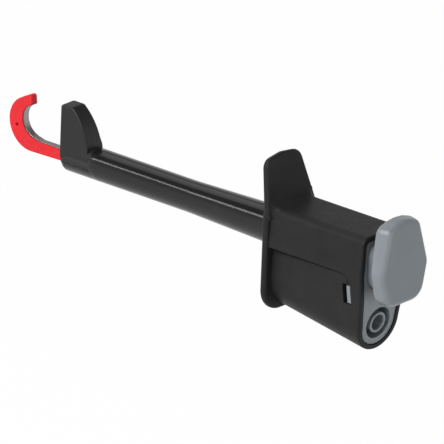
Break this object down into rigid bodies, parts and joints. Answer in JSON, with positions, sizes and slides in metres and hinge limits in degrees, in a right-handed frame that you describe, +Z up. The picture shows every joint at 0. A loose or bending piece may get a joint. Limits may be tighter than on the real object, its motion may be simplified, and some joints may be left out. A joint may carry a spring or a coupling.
{
  "type": "grabber test hook",
  "caption": "Insulated hook clip for test leads: a thumb button slides a sprung red hook out of a long barrel, and a shrouded 4 mm socket takes the lead's plug.",
  "frame": {"origin": "on the barrel axis at the jaw face, the front face of the nose guard", "axes": "+X along the barrel from the hook to the thumb button, +Z up through the finger guard's upright, the object is alike on both sides of the X-Z plane"},
  "size_m": [0.1287, 0.0186, 0.0421],
  "materials": {
    "black_moulding": "satin moulded",
    "grey_moulding": "satin moulded",
    "red_insulation": "semi-gloss moulded",
    "natural_plastic": "moulded",
    "nickel_plate": "dull nickel plate",
    "spring_steel": "drawn wire",
    "brass": "stamped"
  },
  "bodies": {
    "handle": {"housing_shell": "black_moulding", "barrel_tube": "black_moulding", "nose_guard": "black_moulding", "barrel_ring": "spring_steel", "rod_bush": "natural_plastic", "contact_block": "brass", "bus_strip": "brass", "bus_rivets": "brass", "end_cap": "grey_moulding", "socket_contact": "nickel_plate", "socket_collar": "grey_moulding", "return_spring": "spring_steel"},
    "plunger": {"hook_cover": "red_insulation", "hook_core": "nickel_plate", "shank_ferrule": "nickel_plate", "rod_sleeve": "natural_plastic", "pull_rod": "nickel_plate", "plunger_stem": "grey_moulding", "stem_pin": "spring_steel", "thumb_button": "grey_moulding"}
  },
  "joints": [
    {"name": "plunger_slide", "type": "slide", "parent": "handle", "child": "plunger", "axis": [1, 0, 0], "range_m": [0, 0.0106], "stiffness_N_per_m": 300, "springref_m": 0.016, "deforming": ["return_spring"]}
  ]
}
